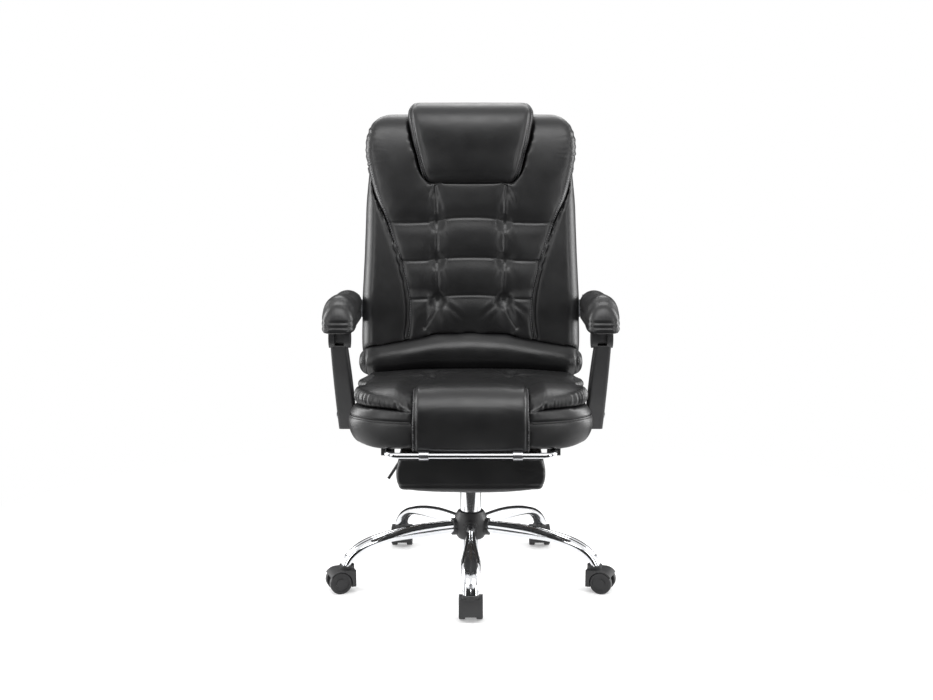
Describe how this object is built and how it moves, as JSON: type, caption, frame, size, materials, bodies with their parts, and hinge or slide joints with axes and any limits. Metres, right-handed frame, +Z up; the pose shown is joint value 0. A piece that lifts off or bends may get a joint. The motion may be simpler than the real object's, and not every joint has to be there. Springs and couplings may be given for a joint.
{
  "type": "reclining office chair",
  "caption": "High-backed padded office chair on a castor base, with a reclining back, linked arms, gas lift and a footrest that slides out and flips over.",
  "frame": {"origin": "point on the floor under the axis of the gas lift column", "axes": "+Z up; the chair faces -Y; +X is the sitter's left, which is the right of a front view"},
  "size_m": [0.672, 0.6333, 1.119],
  "materials": {
    "black_leather": "smooth black synthetic leather with a soft sheen",
    "chrome": "bright chrome plate",
    "zinc_steel": "zinc plated steel",
    "black_steel": "black powder coat",
    "black_plastic": "matt moulded black plastic",
    "castor_nylon": "dark nylon with a moulded ring",
    "plywood": "bare moulded plywood"
  },
  "bodies": {
    "star_base": {"hub_sleeve": "zinc_steel", "hub_cover": "black_plastic", "castor_stems": "zinc_steel", "column_tube": "chrome", "column_bush": "black_plastic", "leg_1": "chrome", "leg_2": "chrome", "leg_3": "chrome", "leg_4": "chrome", "leg_5": "chrome"},
    "piston_rod": {"piston_rod": "zinc_steel"},
    "castor_1": {"castor_1_hood": "black_plastic"},
    "castor_1_wheelset": {"castor_1_axle": "zinc_steel", "castor_1_wheels": "castor_nylon"},
    "castor_2": {"castor_2_hood": "black_plastic"},
    "castor_2_wheelset": {"castor_2_axle": "zinc_steel", "castor_2_wheels": "castor_nylon"},
    "castor_3": {"castor_3_hood": "black_plastic"},
    "castor_3_wheelset": {"castor_3_axle": "zinc_steel", "castor_3_wheels": "castor_nylon"},
    "castor_4": {"castor_4_hood": "black_plastic"},
    "castor_4_wheelset": {"castor_4_axle": "zinc_steel", "castor_4_wheels": "castor_nylon"},
    "castor_5": {"castor_5_hood": "black_plastic"},
    "castor_5_wheelset": {"castor_5_axle": "zinc_steel", "castor_5_wheels": "castor_nylon"},
    "seat": {"gas_cylinder": "zinc_steel", "lift_plate": "black_steel", "plate_bolts": "zinc_steel", "seat_pan": "plywood", "seat_base_cushion": "black_leather", "seat_top_cushion": "black_leather", "seat_front_roll": "black_leather", "hinge_brackets": "black_steel", "hinge_pins": "zinc_steel", "rail_guides": "black_plastic", "post_brackets": "black_steel", "post_pivot_bolts": "zinc_steel"},
    "height_lever": {"height_lever": "black_steel"},
    "recline_lever": {"recline_lever": "black_steel"},
    "footrest_frame": {"footrest_frame": "chrome", "frame_stop_caps": "black_plastic"},
    "footrest_pad": {"footrest_board": "black_plastic", "footrest_cushion": "black_leather", "footrest_clips": "zinc_steel"},
    "back": {"back_board": "plywood", "back_cushion": "black_leather", "back_overlay": "black_leather", "headrest": "black_leather", "lumbar_roll": "black_leather", "back_cover": "black_leather", "hinge_arms": "black_steel", "arm_brackets": "zinc_steel", "pad_pivot_bolts": "zinc_steel"},
    "arm_left": {"arm_pad_left": "black_leather", "arm_tray_left": "black_plastic"},
    "arm_post_left": {"arm_post_left": "black_plastic"},
    "arm_right": {"arm_pad_right": "black_leather", "arm_tray_right": "black_plastic"},
    "arm_post_right": {"arm_post_right": "black_plastic"}
  },
  "joints": [
    {"name": "seat_swivel", "type": "hinge", "parent": "star_base", "child": "piston_rod", "pos_m": [0, 0, 0.3], "axis": [0, 0, 1], "continuous": true},
    {"name": "seat_lift", "type": "slide", "parent": "piston_rod", "child": "seat", "axis": [0, 0, 1], "range_m": [0, 0.09]},
    {"name": "castor_1_swivel", "type": "hinge", "parent": "star_base", "child": "castor_1", "pos_m": [0, -0.3, 0.05], "axis": [0, 0, 1], "continuous": true},
    {"name": "castor_1_roll", "type": "hinge", "parent": "castor_1", "child": "castor_1_wheelset", "pos_m": [0, -0.28, 0.025], "axis": [-1, 0, 0], "continuous": true},
    {"name": "castor_2_swivel", "type": "hinge", "parent": "star_base", "child": "castor_2", "pos_m": [0.28532, -0.0927, 0.05], "axis": [0, 0, 1], "continuous": true},
    {"name": "castor_2_roll", "type": "hinge", "parent": "castor_2", "child": "castor_2_wheelset", "pos_m": [0.30411, -0.09955, 0.025], "axis": [0.342, 0.9397, 0], "continuous": true},
    {"name": "castor_3_swivel", "type": "hinge", "parent": "star_base", "child": "castor_3", "pos_m": [0.17634, 0.24271, 0.05], "axis": [0, 0, 1], "continuous": true},
    {"name": "castor_3_roll", "type": "hinge", "parent": "castor_3", "child": "castor_3_wheelset", "pos_m": [0.17634, 0.26271, 0.025], "axis": [-1, 0, 0], "continuous": true},
    {"name": "castor_4_swivel", "type": "hinge", "parent": "star_base", "child": "castor_4", "pos_m": [-0.17634, 0.24271, 0.05], "axis": [0, 0, 1], "continuous": true},
    {"name": "castor_4_roll", "type": "hinge", "parent": "castor_4", "child": "castor_4_wheelset", "pos_m": [-0.17634, 0.26271, 0.025], "axis": [-1, 0, 0], "continuous": true},
    {"name": "castor_5_swivel", "type": "hinge", "parent": "star_base", "child": "castor_5", "pos_m": [-0.28532, -0.0927, 0.05], "axis": [0, 0, 1], "continuous": true},
    {"name": "castor_5_roll", "type": "hinge", "parent": "castor_5", "child": "castor_5_wheelset", "pos_m": [-0.30411, -0.09955, 0.025], "axis": [0.342, -0.9397, 0], "continuous": true},
    {"name": "height_lever_lift", "type": "hinge", "parent": "seat", "child": "height_lever", "pos_m": [-0.038, 0.025, 0.353], "axis": [0, 1, 0], "range_deg": [0, 6], "stiffness_Nm_per_rad": 0.6, "springref_deg": -11.46},
    {"name": "recline_lever_pull", "type": "hinge", "parent": "seat", "child": "recline_lever", "pos_m": [-0.12, 0.222, 0.378], "axis": [1, 0, 0], "range_deg": [0, 20], "stiffness_Nm_per_rad": 0.6, "springref_deg": -17.19},
    {"name": "footrest_slide", "type": "slide", "parent": "seat", "child": "footrest_frame", "axis": [0, -1, 0], "range_m": [0, 0.25]},
    {"name": "footrest_flip", "type": "hinge", "parent": "footrest_frame", "child": "footrest_pad", "pos_m": [0, -0.285, 0.3625], "axis": [-1, 0, 0], "range_deg": [0, 180]},
    {"name": "back_recline", "type": "hinge", "parent": "seat", "child": "back", "pos_m": [0, 0.225, 0.42], "axis": [-1, 0, 0], "range_deg": [0, 45]},
    {"name": "arm_left_tilt", "type": "hinge", "parent": "back", "child": "arm_left", "pos_m": [0, 0.15, 0.608], "axis": [1, 0, 0], "range_deg": [0, 45]},
    {"name": "arm_post_left_tilt", "type": "hinge", "parent": "seat", "child": "arm_post_left", "pos_m": [0, -0.005, 0.398], "axis": [-1, 0, 0], "range_deg": [0, 45]},
    {"name": "arm_right_tilt", "type": "hinge", "parent": "back", "child": "arm_right", "pos_m": [0, 0.15, 0.608], "axis": [1, 0, 0], "range_deg": [0, 45]},
    {"name": "arm_post_right_tilt", "type": "hinge", "parent": "seat", "child": "arm_post_right", "pos_m": [0, -0.005, 0.398], "axis": [-1, 0, 0], "range_deg": [0, 45]}
  ],
  "couplings": [
    {"joint": "arm_left_tilt", "follows": "back_recline", "ratio": 1},
    {"joint": "arm_post_left_tilt", "follows": "back_recline", "ratio": 1},
    {"joint": "arm_right_tilt", "follows": "back_recline", "ratio": 1},
    {"joint": "arm_post_right_tilt", "follows": "back_recline", "ratio": 1}
  ]
}
